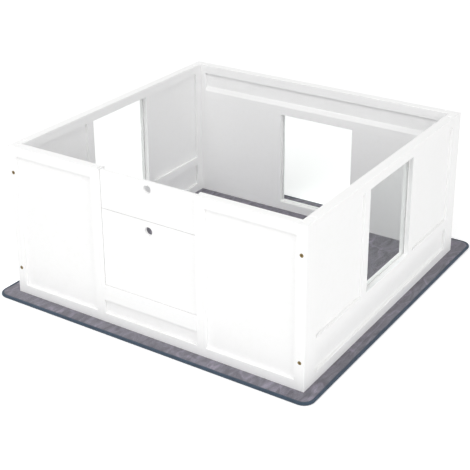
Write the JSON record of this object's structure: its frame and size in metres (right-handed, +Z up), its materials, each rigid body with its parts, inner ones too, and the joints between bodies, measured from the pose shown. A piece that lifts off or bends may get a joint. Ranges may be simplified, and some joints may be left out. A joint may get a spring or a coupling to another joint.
{
  "type": "whelping box",
  "caption": "Framed wooden whelping pen with clear windows, a doorway closed by lift-out boards with finger holes, and a plush floor mat with a bound edge.",
  "frame": {"origin": "centre of the mat's underside, on the floor", "axes": "+X to the right seen from the front, +Y from the doorway wall to the back wall, +Z up"},
  "size_m": [1.092, 1.097, 0.488],
  "materials": {
    "white_paint": "satin white paint over wood",
    "clear_pane": "clear polished sheet",
    "plush": "short marbled plush",
    "binding_tape": "woven binding tape",
    "bolt_brass": "satin brass",
    "insert_steel": "zinc plated"
  },
  "bodies": {
    "frame": {"back_bottom_rail": "white_paint", "back_left_board": "white_paint", "back_left_end_stile": "white_paint", "back_left_window_stile": "white_paint", "back_mid_rail": "white_paint", "back_right_board": "white_paint", "back_right_end_stile": "white_paint", "back_right_window_stile": "white_paint", "back_top_rail": "white_paint", "back_upper_panel": "white_paint", "back_window_pane": "clear_pane", "corner_bolts": "bolt_brass", "floor_mat": "plush", "front_left_bottom_rail": "white_paint", "front_left_door_stile": "white_paint", "front_left_outer_stile": "white_paint", "front_left_panel": "white_paint", "front_left_top_rail": "white_paint", "front_right_bottom_rail": "white_paint", "front_right_door_stile": "white_paint", "front_right_outer_stile": "white_paint", "front_right_panel": "white_paint", "front_right_top_rail": "white_paint", "left_back_end_stile": "white_paint", "left_back_panel": "white_paint", "left_back_window_stile": "white_paint", "left_bottom_rail": "white_paint", "left_front_end_stile": "white_paint", "left_front_panel": "white_paint", "left_front_window_stile": "white_paint", "left_lower_panel": "white_paint", "left_mid_rail": "white_paint", "left_top_rail": "white_paint", "left_window_pane": "clear_pane", "mat_binding": "binding_tape", "right_back_end_stile": "white_paint", "right_back_panel": "white_paint", "right_back_window_stile": "white_paint", "right_bottom_rail": "white_paint", "right_front_end_stile": "white_paint", "right_front_panel": "white_paint", "right_front_window_stile": "white_paint", "right_lower_panel": "white_paint", "right_mid_rail": "white_paint", "right_top_rail": "white_paint", "right_window_pane": "clear_pane", "threaded_inserts": "insert_steel", "threshold_bottom_rail": "white_paint", "threshold_panel": "white_paint", "threshold_rail": "white_paint"},
    "lower_board": {"lower_door_board": "white_paint"},
    "upper_board": {"upper_door_board": "white_paint"}
  },
  "joints": [
    {"name": "lower_board_lift", "type": "slide", "parent": "frame", "child": "lower_board", "axis": [0, 0, 1], "range_m": [0, 0.37]},
    {"name": "upper_board_lift", "type": "slide", "parent": "lower_board", "child": "upper_board", "axis": [0, 0, 1], "range_m": [0, 0.13]}
  ]
}
